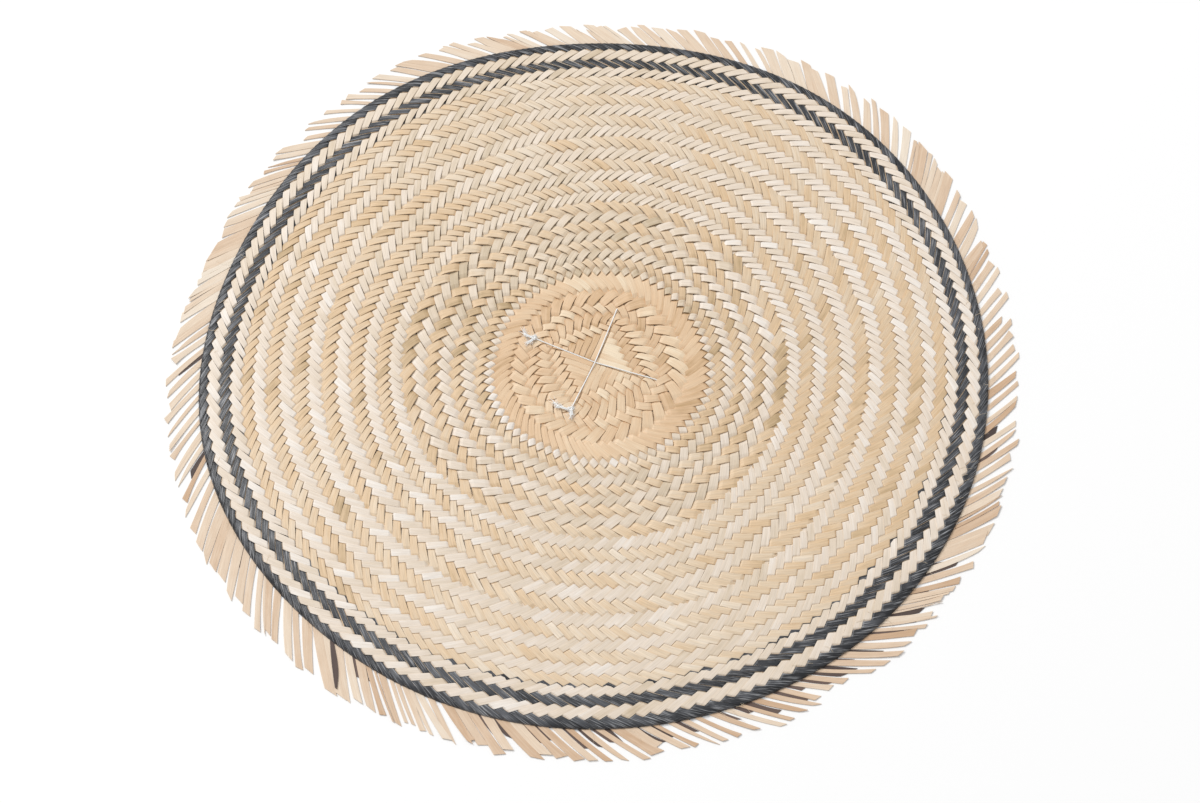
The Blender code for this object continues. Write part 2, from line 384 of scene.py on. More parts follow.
class Ribbons(Parts):
    """Gathers thin strips, each a closed ribbon of five-cornered sections, into one mesh."""

    def __init__(self, seed):
        super().__init__(seed)
        self.grain, self.tone, self.map = [], [], []
        self.cells = 0

    def add(self, x, y, height, thickness, tone, crown, tilt):
        """x and y have the shape (strips, stations, 3), for the left, middle and right of
        the strip; height is the middle of the thickness, (strips, stations) or with a 3."""
        strips, stations, _ = x.shape
        if height.ndim == 2:
            height = height[..., None]
        height = height + tilt[..., None] * np.array([-1, 0, 1])
        upper = height + thickness / 2 + crown * np.array([0, 1, 0])
        lower = height - thickness / 2
        points = np.empty((strips, stations, 5, 3))
        for corner, (k, top) in enumerate(SECTION):
            level = np.maximum((upper if top else lower)[..., k], LOWEST)
            points[:, :, corner] = np.stack([x[..., k], y[..., k], level], -1)
        number = np.arange(strips * stations * 5).reshape(strips, stations, 5)
        quads = walls(number)
        first, last = number[:, 0], number[:, -1]
        caps = np.concatenate([first[:, [0, 4, 3, 2]], last[:, [0, 2, 3, 4]]])
        peaks = np.concatenate([first[:, [0, 2, 1]], last[:, [0, 1, 2]]])
        flat = points.reshape(-1, 3)
        turned = signed_volume(flat, np.concatenate([quads, caps])) < 0
        if turned:
            quads, caps, peaks = quads[:, ::-1], caps[:, ::-1], peaks[:, ::-1]
        self.gather(flat, np.concatenate([quads, caps]), peaks)
        self._texture(points, tone)
        self._map(strips, stations, turned)

    def _texture(self, points, tone):
        """Grain: millimetres across and along the strip, and a number for the strip."""
        strips = len(points)
        middle = points[:, :, 1]
        width = np.linalg.norm(points[:, :, 2] - points[:, :, 0], axis=-1) / MM
        pace = np.linalg.norm(np.diff(middle, axis=1), axis=-1) / MM
        along = np.concatenate([np.zeros((strips, 1)), np.cumsum(pace, 1)], 1)
        across = np.array([k / 2 - 0.5 for k, _ in SECTION]) * width.mean(1)[:, None, None]
        own = self.draw.uniform(0, 900, strips)[:, None, None]
        grain = np.stack(np.broadcast_arrays(across, along[:, :, None], own), -1)
        self.grain.append(grain.reshape(-1, 3))
        self.tone.append(np.repeat(tone.ravel(), 5))

    def _map(self, strips, stations, turned):
        """The baked map's places: each strip in a cell of its own, unrolled."""
        along = np.linspace(0.01, 0.99, stations)
        low, high = along[:-1], along[1:]
        places = np.empty((stations - 1, 5, 4, 2))
        for corner, (side, after) in enumerate(zip(ATLAS_ACROSS, ATLAS_ACROSS[1:])):
            places[:, corner, :, 0] = np.stack([low, low, high, high], -1)
            places[:, corner, :, 1] = [side, after, after, side]
        cap = ATLAS_CAP * np.array([[0, 0], [0, 1], [1, 1], [1, 0]])
        if turned:
            places, cap = places[:, :, ::-1], cap[::-1]
        cells = self.cells + np.arange(strips)
        self.cells += strips
        self.map.append((cells, places.reshape(-1, 4, 2), cap))

    def build(self, name, columns):
        """The one mesh of all the strips so far, with that many columns in its baked map."""
        made = super().build(name)
        mesh = made.data
        for label, kind, field, values in (("grain", "FLOAT_VECTOR", "vector", self.grain),
                                           ("tone", "FLOAT", "value", self.tone)):
            numbers = np.concatenate(values).astype(np.float32).ravel()
            mesh.attributes.new(label, kind, "POINT").data.foreach_set(field, numbers)
        self._lay_map(mesh, columns)
        mesh.set_sharp_from_angle(angle=radians(48))
        return made

    def _lay_map(self, mesh, columns):
        rows = math.ceil(self.cells / columns)

        def laid(cells, places):
            corner = np.stack([cells % columns, cells // columns], -1)[:, None, None]
            return ((corner + places) / np.array([columns, rows])).reshape(-1, 2)

        quads, triangles = [], []
        for cells, places, cap in self.map:
            ends = np.tile(cells, 2)
            quads += [laid(cells, places), laid(ends, cap)]
            triangles.append(laid(ends, cap[:3]))
        layer = mesh.uv_layers.new(name="OFBake")
        places = np.concatenate(quads + triangles).astype(np.float32)
        layer.uv.foreach_set("vector", places.ravel())


def lattice(family, numbers, marks, left, right):
    """a and b for the two edges and the middle of strips, at the steps in marks."""
    across = np.stack([left, (left + right) / 2, right], -1)
    numbers = numbers[:, None, None]
    line = numbers + across
    if family == "ccw":
        return line, marks[..., None] + numbers + 0.5
    return numbers + 0.5 - marks[..., None], line


def variation(draw, marks, knots):
    """A function that draws a number for each strip and row, blended along the strip."""
    middles = np.concatenate([[knots[0] - 2], (knots[:-1] + knots[1:]) / 2, [knots[-1] + 2]])

    def varied(size):
        values = draw.normal(0, size, (len(marks), len(knots) + 1))
        return np.array([np.interp(at, middles, own) for at, own in zip(marks, values)])

    return varied


# Tones go from 0, the darkest, to 1.
TONE, TONE_SPREAD, DARKEST = 0.56, 0.10, 0.05
DARK_TONES = 0.28, 0.42
TONE_DRIFT = 0.08  # how much a strip's tone changes on its way
PAIR_DARKEST = 0.44
STARTS_PALER = 0.35  # from one step before paler_until inwards
BEAD_TONE = 0.02


def tones(draw, strips, dark_share):
    """How pale each strip is; a few are much darker than the rest."""
    tone = np.clip(draw.normal(TONE, TONE_SPREAD, strips), DARKEST, 1)
    dark = draw.random(strips) < dark_share
    return np.where(dark, draw.uniform(*DARK_TONES, strips), tone)


# Painted light and shade: a strip is paler where it runs from the far left to the near right,
# and darker across that.
# The clockwise strips are also a little paler on one side of the mat.
PAINTED_LIGHT_SWAY, PAINTED_LIGHT_ANGLE = 0.14, radians(18)
SIDE_SWAY, PALE_SIDE = 0.10, radians(-60)
TAN_SHADE_SWAY, TAN_SHADED_MOST = 0.21, radians(-32)  # painted shade on the tan strips: deepest here and across from here
BEAD_SWAY, PALE_BEADS = 0.28, radians(45)  # the bead row is palest across from here
SLITS_SWAY = 0.6
SLITS_MOST = {"cw": radians(115), "ccw": radians(200)}  # where slits are widest
PINCH_SPREAD = 0.2, 1.5  # least and most of its pinch that a strip takes
PAIR_GAP = 0.006  # between the two strips of a pair, share of the spacing
STRIP_LEAN = 0.013  # how unevenly a strip runs and how unevenly wide it is,
STRIP_NARROW = 0.015  # in spacings
UNEVEN = 0.03 * MM  # how unevenly high and tilted it lies


def weave(ribbons, zone, family, numbers, stations, quarter=None, start=None,
          paired=False, paler_until=None):
    """Adds the strips of one family in a zone: numbers are the strips' whole numbers in the
    lattice, stations the places of their sections in steps. Paired strips touch in twos and
    share their tone, and the pairs lie close but for the near side. Up to paler_until steps
    the strips touch and are paler."""
    draw, strips = ribbons.draw, len(numbers)
    marks = np.broadcast_to(stations, (strips, stations.shape[-1]))
    varied = variation(draw, marks, zone.knots)
    height = zone.rise(family, stations, start)
    lean = varied(STRIP_LEAN)
    left = zone.gap + np.abs(varied(STRIP_NARROW)) + lean
    right = 1 - zone.gap - np.abs(varied(STRIP_NARROW)) + lean
    pinch = zone.pinched(marks) * draw.uniform(*PINCH_SPREAD, (strips, 1))
    touching = 0.0 if paler_until is None else unit(1.5 * (paler_until - marks))
    if quarter is None:
        on = marks if family == "ccw" else -marks
        turn = (2 * numbers[:, None] + 1 + on) * pi / zone.strips
        sway = 1 + SLITS_SWAY * np.cos(turn - SLITS_MOST[family])
        pinch = pinch * (0.0 if paired else sway)
        if paired:
            touching = np.clip(1 + 1.1 * np.sin(turn), 0, 0.9)
    if family == "ccw":
        left = left + pinch
    else:
        right = right - pinch
    if paired:
        second = (np.arange(strips) % 2 == 1)[:, None]
        left = np.where(second, PAIR_GAP, left)
        right = np.where(second, right, 1 - PAIR_GAP)
    left = left * (1 - touching)
    right = 1 - (1 - right) * (1 - touching)
    x, y = zone.place(*lattice(family, numbers, marks, left, right), quarter)
    uneven = varied(UNEVEN)
    tilt = varied(UNEVEN)
    over = unit(height / zone.top)
    tilt = (tilt + over * (SHINGLE if family == "ccw" else -SHINGLE)) * (1 - touching)
    tone = zone.pale + tones(draw, strips, 0.0 if paired else zone.dark_share)[:, None]
    tone = tone + varied(TONE_DRIFT)
    if paired:
        tone = np.maximum(np.repeat(tone[::2], 2, axis=0), PAIR_DARKEST)
    angle = np.arctan2(y[..., 1], x[..., 1])
    # painted light and shade, by the way each strip runs
    paler = np.cos(2 * (angle - PAINTED_LIGHT_ANGLE))
    tone += PAINTED_LIGHT_SWAY * (paler if family == "cw" else -paler)
    if family == "cw":
        tone += SIDE_SWAY * np.cos(angle - PALE_SIDE)
    elif quarter is None:
        # painted shade on the tan strips, by the way they run
        tone -= TAN_SHADE_SWAY * unit(np.cos(2 * (angle - TAN_SHADED_MOST)))
    if paler_until is not None:
        tone += STARTS_PALER * unit(paler_until - marks)
    if zone.pale_row is not None:
        pale_here = BEAD_TONE - BEAD_SWAY * np.cos(angle - PALE_BEADS)
        tone += pale_here * (zone.row(marks + 0.01) == zone.pale_row)
    middle = MID_HEIGHT + height + uneven
    ribbons.add(x, y, middle, STRIP_THICKNESS, unit(tone), CROWN, tilt)


def weave_zone(ribbons, zone, family, begin=None, end=None, paired=False):
    """All strips of one family in a zone, from and to a number of steps where it is cut."""
    stations = zone.stations(family)
    if begin is not None:
        stations = np.append(begin, stations[stations > begin])
    if end is not None:
        stations = np.append(stations[stations < end], end)
    numbers = np.arange(zone.strips, dtype=float)
    weave(ribbons, zone, family, numbers, stations, paired=paired)


# The strips of the disc stay in pairs up to here; it lies under a crossing, out of sight.
SPLIT_AT = INNER.knots[1] + 0.5


def make_rings(family, name, seed, columns):
    ribbons = Ribbons(seed)
    weave_zone(ribbons, INNER, family, begin=SPLIT_AT if family == "ccw" else None)
    weave_zone(ribbons, MIDDLE, family)
    weave_zone(ribbons, OUTER, family, end=OUTER.knots[-2] + 0.9)
    return ribbons.build(name, columns)


def make_centre():
    """The disc: half strips, each from the line where its quarter starts out to the rings,
    and the first row round them."""
    ribbons = Ribbons(SEED + 3)
    for quarter in range(4):
        for family in ("cw", "ccw"):
            for number in range(QUARTER):
                start = number + 0.5
                stations = CENTRE.stations(family, start)[None]
                whole = float(number) if family == "cw" else float(-number - 1)
                pale = quarter == 0 and family == "cw"
                weave(ribbons, CENTRE, family, np.array([whole]), stations, quarter, start,
                      paler_until=CENTRE.knots[1] if pale else None)
    weave_zone(ribbons, INNER, "ccw", end=SPLIT_AT, paired=True)
    return ribbons.build("centre_strips", 8)


# ---- border and fringe

RIM_ROLL = 1.15 * MM  # radius of the rolled edge
ROLL_STEPS = 1.0  # steps that go round the roll
ROLL_ANGLE = radians(104)
BLACK_TONE, BLACK_SPREAD, BLACK_SHADE_SWAY = 0.34, 0.22, 0.22
BLACK_PAINTED_HIGHLIGHT = 0.34  # painted highlight: paler at a row's middle, where they stand highest
BLACK_STARTS = radians(270)  # where the dyed strips' first ends show most
BLACK_SHOWN = 0.28  # steps that they reach further in there
BLACK_SHADED_MOST = radians(195)  # painted shade and reflection: darker here and a third round to each side, paler between
BLACK_APART = radians(100)  # where the dyed strips lie furthest apart
BLACK_NARROWER = 0.08  # spacings that they are narrower there
BLACK_EDGES, RIM_EDGES = (0.04, 0.955), (0.03, 0.975)  # their edges, in spacings


def make_black():
    """Dyed strips, laid on the counter-clockwise ones from the last tan row out. At the rim
    they turn down over the edge."""
    ribbons = Ribbons(SEED + 5)
    draw = ribbons.draw
    begin = OUTER.knots[BLACK_ROW]
    rim = OUTER.knots[-1]
    stations = OUTER.stations("ccw")
    stations = stations[(stations > begin + 0.2) & (stations < rim - 0.8)]
    roll = np.linspace(rim - 0.6, rim + ROLL_STEPS + 0.5, 13)
    stations = np.concatenate([[begin], stations, roll])
    strips = OUTER.strips
    numbers = np.arange(strips, dtype=float)
    marks = np.tile(stations, (strips, 1))
    varied = variation(draw, marks, OUTER.knots)
    turn = (2 * numbers + begin) * pi / strips
    showing = unit(np.cos(turn - BLACK_STARTS))
    marks[:, 0] += draw.uniform(0.02, 0.30, strips) - BLACK_SHOWN * showing
    at_rim = unit((marks - OUTER.knots[-2]) / 0.6)
    inland = 1 - at_rim
    wander = varied(0.012) * inland
    narrow = np.abs(varied(0.03))
    apart = unit(np.cos(turn - BLACK_APART))
    left = BLACK_EDGES[0] + BLACK_NARROWER * apart[:, None] + narrow
    left = left * inland + RIM_EDGES[0] * at_rim + wander
    right = BLACK_EDGES[1] * inland + RIM_EDGES[1] * at_rim + wander
    a, b = lattice("ccw", numbers, marks, left, right)
    steps = b - a
    over = unit((steps - rim) / ROLL_STEPS) * ROLL_ANGLE
    share = OUTER.share(np.minimum(steps, rim))
    angle = spaced((a + b) * pi / strips, share)
    radius = waved(share, angle) * RADIUS + RIM_ROLL * np.sin(over)
    inside = OUTER.rise("ccw", np.minimum(marks, rim - OUTER.dive), arch=BLACK_ARCH)
    rolled = unit((steps - rim + 1.2) / 1.2)
    height = inside[..., None] * (1 - rolled) + BORDER_RISE * rolled
    height = height + STRIP_THICKNESS / 2 + BLACK_THICKNESS / 2 + 0.02 * MM
    height -= RIM_ROLL * (1 - np.cos(over))
    height = MID_HEIGHT + height + (varied(0.03 * MM) * inland)[..., None]
    tilt = varied(0.04 * MM) * inland
    tilt = tilt + 0.06 * MM * at_rim + 0.10 * MM * inland
    tone = unit(draw.normal(BLACK_TONE, BLACK_SPREAD, strips))[:, None]
    # painted highlight where the dyed strips stand highest
    crest_highlight = unit((inside - BORDER_RISE) / BLACK_ARCH)
    tone = tone + varied(2 * TONE_DRIFT) + BLACK_PAINTED_HIGHLIGHT * crest_highlight
    # painted shade and reflection on the dyed strips, by where they lie round the mat
    tone = tone - 0.05 - BLACK_SHADE_SWAY * np.cos(3 * (angle[..., 1] - BLACK_SHADED_MOST))
    ribbons.add(*polar(radius, angle), height, BLACK_THICKNESS, unit(tone), EDGE_CROWN,
                tilt)
    return ribbons.build("black_strips", 8)


FRINGE_FROM = 0.952
FRINGE_HEIGHT = 0.22 * MM
FRINGE_THICKNESS = 0.42 * MM
# Painted light on the fringe: paler towards the key light at the far left, darker across from
# it.
FRINGE_LIGHT_SWAY, FRINGE_LIT_MOST = 0.12, radians(120)
PITCH = tau / OUTER.strips
SPLIT_SHARE, SHORT_SHARE = 0.26, 0.03  # of the ends


def fringe_at(angle):
    """The fringe's reach, width, gap start and lean at an angle, from its table."""
    degrees, *columns = np.array(FRINGE).T
    at = np.degrees(angle)
    return [float(np.interp(at, degrees, column, period=360)) for column in columns]


def fringe_strip(ribbons, start, base, width, lean, tip, height, lift, tilt, tone, cut,
                 split=0.0, thickness=FRINGE_THICKNESS, belly=0.0):
    """One strip end that leaves the rim flat. It is as wide as base up to the gap's start
    and narrows to width at its tip, which may lift or tilt a little; belly widens it
    halfway."""
    draw = ribbons.draw
    shares = np.concatenate([[FRINGE_FROM, 0.976], np.linspace(1.0, tip, 9)])
    out = unit((shares - 1) / (tip - 1))
    opened = unit((out - split) / (1 - split)) ** 0.85
    across = base * (1 - opened) + width * opened + belly * np.sin(out * pi)
    bend = draw.normal(0, 0.0034) * out + draw.normal(0, 0.0016) * out ** 2
    edges = start + math.tan(radians(lean)) * np.log(shares) + bend
    side = np.array([0, 0.5, 1.0])
    angle = edges[:, None] + across[:, None] * side
    share = shares[:, None] + (side - 0.5) * cut * (out ** 4)[:, None]
    radius = waved(np.minimum(share, 1), angle) * RADIUS + np.maximum(share - 1, 0) * RADIUS
    level = height + lift * out ** 2
    ribbons.add(*polar(radius[None], angle[None]), level[None], thickness,
                np.full((1, len(shares)), tone), EDGE_CROWN, (tilt * out)[None])


def make_fringe():
    """The strip ends round the rim: some whole, some split in two, uneven in length."""
    ribbons = Ribbons(SEED + 7)
    draw = ribbons.draw
    bunched = np.repeat(draw.normal(0, 0.10, OUTER.strips // 3), 3)
    for number in range(OUTER.strips):
        start = number * PITCH + draw.normal(0, 0.03) * PITCH
        reach, wide, gap_start, lean = fringe_at(start + PITCH)
        width = np.clip(wide - 0.07 + bunched[number] + draw.normal(0, 0.09), 0.30, 1.0)
        base = np.clip(width + draw.uniform(0.02, 0.12 + gap_start), 0.4, 1.01)
        split = np.clip(gap_start + draw.normal(0, 0.20), 0, 0.75)
        tip = reach + draw.uniform(-0.012, 0.004)
        if draw.random() < SHORT_SHARE:
            tip = 1 + (tip - 1) * draw.uniform(0.6, 0.8)
        lift = min(draw.gamma(1.0, 0.10), 0.5) * MM
        tilt = draw.normal(0, 0.06) * MM
        lean += draw.normal(0, 1.2)
        # painted light: paler towards the key light
        tone = draw.normal(0.54, 0.19) + FRINGE_LIGHT_SWAY * math.cos(start - FRINGE_LIT_MOST)
        tone = float(unit(tone))
        parts = [(0.0, 1.0)]
        if draw.random() < SPLIT_SHARE and width > 0.6:
            middle = draw.uniform(0.30, 0.70)
            parts = [(0.0, middle), (middle, 1.0)]
        for low, high in parts:
            share = high - low
            narrow = width * share - (0.05 if len(parts) > 1 else 0.0)
            own_tip = tip + draw.uniform(-0.006, 0.003) * (len(parts) - 1)
            fringe_strip(ribbons, start + PITCH * low, PITCH * base * share,
                         PITCH * narrow, lean, own_tip, FRINGE_HEIGHT + low * 0.03 * MM, lift,
                         tilt, tone + draw.normal(0, 0.05), draw.normal(0, 0.005), split)
    return ribbons.build("fringe_strips", 12)


# Where dark strip ends show beside the fringe: mostly along the near side, away from the key
# light. They are partly the dyed strips' ends and partly painted shade of the rim.
DARK_MIDDLE, DARK_SPREAD = 288, 52  # degrees
DARK_THICKNESS = 0.2 * MM
CURLED_END = 225.5  # degrees; one dyed end is long and curled


def make_dark_ends_shade():
    """Dark strip ends that peep out beside the fringe: partly the dyed strips' ends, partly
    painted shade of the rim on the near side.
    """
    ribbons = Ribbons(SEED + 9)
    draw = ribbons.draw
    for number in range(OUTER.strips):
        start = number * PITCH + PITCH * draw.uniform(0.45, 0.80)
        reach, _, _, lean = fringe_at(start)
        angle = math.degrees(number * PITCH)
        # painted shade: most dark ends lie on the near side, where the rim's shade falls
        chance = 0.85 * math.exp(-((angle - DARK_MIDDLE) / DARK_SPREAD) ** 4) + 0.03
        longest = abs(angle - CURLED_END) < math.degrees(PITCH) / 2
        shown, size = draw.random() < chance, draw.uniform(0.30, 0.68)
        if longest:
            fringe_strip(ribbons, start, PITCH * 0.38, PITCH * 0.16, lean - 5,
                         1 + (reach - 1) * 0.90, 0.65 * MM, 0.3 * MM, 0.0, 0.3, 0.0,
                         thickness=DARK_THICKNESS, belly=PITCH * 0.30)
        elif shown:
            width = PITCH * draw.uniform(0.34, 0.70)
            fringe_strip(ribbons, start, width, width * 0.9, lean,
                         1 + (reach - 1) * size, 0.12 * MM, 0.0, 0.0, draw.uniform(0, 1.0),
                         draw.normal(0, 0.004), thickness=DARK_THICKNESS)
    return ribbons.build("dark_ends_with_shade", 6)


# ---- threads and fibres

# The stitches: name, knot, far end and the tips of the long and the short tail, in shares of
# the rim radius, and how much they are lifted where they cross, in mm.
STITCHES = (
    ("thread_across", (-0.155, 0.086), (0.157, -0.050), (-0.182, 0.111), (-0.175, 0.069), 0.0),
    ("thread_along", (-0.066, -0.126), (0.062, 0.166), (-0.111, -0.098), (-0.069, -0.152), 0.6),
)
CROSSING = Vector((0.0, 0.008))
PLY_RADIUS = 0.17 * MM
TWIST_LENGTH = 1.4 * MM
THREAD_HEIGHT = 2.15 * MM
KNOT_LOOP = 0.98 * MM
FUZZ_RADIUS = 0.04 * MM
FUZZ_LENGTH = 2.6 * MM
FRAYED_STRANDS = 14
STRAY_FIBRES = 90


def sides_of(path):
    """The level direction and the upright one across a path, at each of its points."""
    ahead = np.gradient(path, axis=0)
    ahead /= np.linalg.norm(ahead, axis=1)[:, None]
    side = np.cross(ahead, [0.0, 0.0, 1.0])
    side /= np.maximum(np.linalg.norm(side, axis=1), 1e-6)[:, None]
    return side, np.cross(side, ahead)


class Tubes(Parts):
    """Gathers closed round tubes, with ends drawn to a point, into one mesh."""

    def add(self, path, radius, sides=6):
        path = np.asarray(path, float)
        side, up = sides_of(path)
        turn = (np.arange(sides) * tau / sides)[None, :, None]
        size = np.broadcast_to(radius, len(path))[:, None, None]
        ring = np.cos(turn) * side[:, None] + np.sin(turn) * up[:, None]
        points = (path[:, None] + ring * size).reshape(-1, 3)
        number = np.arange(len(path) * sides).reshape(len(path), sides)
        quads = walls(number)
        first, last = len(points), len(points) + 1
        points = np.concatenate([points, path[:1], path[-1:]])
        fans = [[first, number[0, (k + 1) % sides], number[0, k]] for k in range(sides)]
        fans += [[last, number[-1, k], number[-1, (k + 1) % sides]] for k in range(sides)]
        fans = np.array(fans)
        if signed_volume(points, quads) < 0:
            quads, fans = quads[:, ::-1], fans[:, ::-1]
        self.gather(points, quads, fans)


def smooth_path(points, count):
    """A smooth line through a few points, evenly divided."""
    points = np.asarray(points, float)
    ends = np.concatenate([[2 * points[0] - points[1]], points, [2 * points[-1] - points[-2]]])
    out = []
    for p0, p1, p2, p3 in zip(ends, ends[1:], ends[2:], ends[3:]):
        t = np.linspace(0, 1, 24, endpoint=False)[:, None]
        out.append(0.5 * (2 * p1 + (p2 - p0) * t + (2 * p0 - 5 * p1 + 4 * p2 - p3) * t ** 2
                          + (3 * p1 - p0 - 3 * p2 + p3) * t ** 3))
    line = np.concatenate(out + [points[-1:]])
    far = np.concatenate([[0], np.cumsum(np.linalg.norm(np.diff(line, axis=0), axis=1))])
    even = np.linspace(0, far[-1], count)
    return np.stack([np.interp(even, far, line[:, k]) for k in range(3)], -1), far[-1]


def twisted(tubes, points):
    """Two plies wound round each other along a line."""
    _, length = smooth_path(points, 8)
    count = max(12, int(length / (0.16 * MM)))
    path, length = smooth_path(points, count)
    side, up = sides_of(path)
    turn = np.linspace(0, length / TWIST_LENGTH * tau, count)[:, None]
    for phase in (0.0, pi):
        wound = np.cos(turn + phase) * side + np.sin(turn + phase) * up
        tubes.add(path + wound * PLY_RADIUS * 0.85, PLY_RADIUS)


def place3(share, height):
    return (share[0] * RADIUS, share[1] * RADIUS, height)


def fuzz(tubes, centre, reach, count):
    """Hair-thin fibres that stand off round a place."""
    draw = tubes.draw
    for _ in range(count):
        start = np.array(centre) + draw.normal(0, 0.45, 3) * reach * np.array([1, 1, 0.4])
        heading = draw.uniform(0, tau)
        curl = draw.normal(0, 1.6)
        size = FUZZ_LENGTH * draw.uniform(0.4, 1.0)
        climb = draw.uniform(-0.25, 0.35)
        points = [start]
        for k in range(1, 5):
            turn = heading + curl * k / 4
            step = np.array([math.cos(turn), math.sin(turn), climb]) * size / 4
            points.append(points[-1] + step)
        path, _ = smooth_path(points, 9)
        path[:, 2] = np.clip(path[:, 2], THREAD_HEIGHT - 0.3 * MM, THREAD_HEIGHT + 1.7 * MM)
        tubes.add(path, np.linspace(1.0, 0.6, 9) * FUZZ_RADIUS, 4)


def frayed(tubes, points, spread):
    """Strands that come apart towards the end of a line."""
    draw = tubes.draw
    line, _ = smooth_path(points, 22)
    share = np.linspace(0, 1, 22)[:, None]
    for _ in range(FRAYED_STRANDS):
        off = draw.normal(0, 1, 3) * np.array([1, 1, 0.35]) * spread
        bend = draw.normal(0, 0.5, 3) * np.array([1, 1, 0.2]) * spread
        strand = line + off * share ** 1.7 + bend * np.sin(share * 5)
        tubes.add(strand, np.linspace(0.11, 0.05, 22) * MM, 5)


def make_stitch(name, knot, end, long_tail, short_tail, lift):
    tubes = Tubes(SEED + len(name))
    start, stop = Vector(knot), Vector(end)
    run = []
    for k in range(13):
        at = start.lerp(CROSSING, k / 6) if k < 6 else CROSSING.lerp(stop, k / 6 - 1)
        near = max(0.0, 1 - ((at - CROSSING).length / 0.04) ** 2)
        sag = tubes.draw.normal(0, 0.05) * MM
        run.append(place3(at, THREAD_HEIGHT + lift * MM * near + sag))
    run[-1] = place3(end, MID_HEIGHT)
    run.insert(-1, place3(start.lerp(stop, 0.985), THREAD_HEIGHT - 0.2 * MM))
    twisted(tubes, run)
    for tail, size in ((long_tail, 1.0), (short_tail, 0.6)):
        tip = Vector(tail)
        bow = (tip - start).orthogonal() * 0.16 * size
        route = [place3(start, THREAD_HEIGHT + 0.2 * MM),
                 place3(start.lerp(tip, 0.3) + bow * 0.6, THREAD_HEIGHT + 0.6 * MM),
                 place3(start.lerp(tip, 0.65) + bow, THREAD_HEIGHT + 0.8 * MM * size),
                 place3(tip, THREAD_HEIGHT + 0.3 * MM)]
        twisted(tubes, route[:3])
        beside = np.array([bow.x, bow.y, 0]) / max(bow.length, 1e-6) * 0.55 * MM
        twisted(tubes, [np.array(place) + beside for place in route[:3]])
        frayed(tubes, route[1:], 0.9 * MM * size)
        fuzz(tubes, route[2], 1.4 * MM, 26)
    turn = np.linspace(0, tau, 64)
    knot_x = np.sin(turn) + 2 * np.sin(2 * turn)
    knot_y = np.cos(turn) - 2 * np.cos(2 * turn)
    knot_z = -np.sin(3 * turn)
    centre = np.array(place3(knot, THREAD_HEIGHT + 0.45 * MM))
    path = np.stack([knot_x * KNOT_LOOP / 2, knot_y * KNOT_LOOP / 2.4,
                     knot_z * KNOT_LOOP * 0.5], -1)
    twisted(tubes, centre + path)
    twisted(tubes, centre + path[:, [1, 0, 2]] * 0.8)
    fuzz(tubes, centre, 1.3 * MM, 60)
    return tubes.build(name.replace("thread", "stitch"))


def make_fibres():
    """Hair-thin fibres that stand off the rim and the fringe, mostly on the left and right."""
    tubes = Tubes(SEED + 13)
    draw = tubes.draw
    for _ in range(STRAY_FIBRES):
        angle = draw.choice([0.0, pi, radians(305)]) + draw.normal(0, 0.42)
        share = draw.uniform(0.955, 1.01)
        length = draw.uniform(3.0, 9.0) * MM
        heading = angle + radians(draw.normal(52, 22))
        curl = draw.normal(0, 0.5)
        start = np.array(place3((share * math.cos(angle), share * math.sin(angle)), 0))
        height = 2.3 * MM if share < 0.99 else 1.1 * MM
        points = []
        for k in range(5):
            t = k / 4
            turn = heading + curl * t
            step = np.array([math.cos(turn), math.sin(turn), 0]) * length * t
            drop = height + draw.uniform(0, 0.4) * MM - t * max(0, height - 1.0 * MM)
            points.append(start + step + [0, 0, drop])
        path, _ = smooth_path(points, 14)
        tubes.add(path, np.linspace(0.07, 0.03, 14) * MM, 4)
    return tubes.build("stray_fibres")


# ---- materials

def settings(node, **values):
    """Sets inputs of a node; an underscore stands for a space in a name."""
    for name, value in values.items():
        node.inputs[name.replace("_", " ")].default_value = value


def nodes_of(name):
    material = bpy.data.materials.new(name)
    material.use_nodes = True
    tree = material.node_tree
    return material, tree, tree.nodes["Principled BSDF"]


def vertex_value(tree, name, output):
    """What the pieces' vertices hold under a name."""
    made = tree.nodes.new("ShaderNodeAttribute")
    made.attribute_name = name
    return made.outputs[output]


def scaled_grain(tree, across, along, shift=0.0):
    """The grain's millimetres, divided by a size across the strip and one along it."""
    mapping = tree.nodes.new("ShaderNodeMapping")
    settings(mapping, Scale=(1 / across, 1 / along, 1.0), Location=(shift,) * 3)
    tree.links.new(vertex_value(tree, "grain", "Vector"), mapping.inputs["Vector"])
    return mapping.outputs["Vector"]


def noise(tree, vector, detail=2.0, roughness=0.5, scale=1.0):
    made = tree.nodes.new("ShaderNodeTexNoise")
    settings(made, Scale=scale, Detail=detail, Roughness=roughness)
    tree.links.new(vector, made.inputs["Vector"])
    return made.outputs["Fac"]


def ramp(tree, value, *stops):
    """A colour ramp; stops are (position, colour)."""
    made = tree.nodes.new("ShaderNodeValToRGB")
    while len(made.color_ramp.elements) < len(stops):
        made.color_ramp.elements.new(0.5)
    for element, (position, colour) in zip(made.color_ramp.elements, stops):
        element.position = position
        element.color = (*colour, 1.0)
    tree.links.new(value, made.inputs["Fac"])
    return made.outputs["Color"]


def feed(tree, sockets, values):
    """Links or sets each socket."""
    for socket, value in zip(sockets, values):
        if hasattr(value, "is_output"):
            tree.links.new(value, socket)
        else:
            socket.default_value = value


def mixed(tree, mode, *values):
    """Two colours mixed; values are the amount and the colours."""
    made = tree.nodes.new("ShaderNodeMix")
    made.data_type = "RGBA"
    made.blend_type = mode
    feed(tree, [s for s in made.inputs if s.enabled], values)
    return next(s for s in made.outputs if s.enabled)


def maths(tree, operation, *values):
    made = tree.nodes.new("ShaderNodeMath")
    made.operation = operation
    feed(tree, made.inputs, values)
    return made.outputs["Value"]


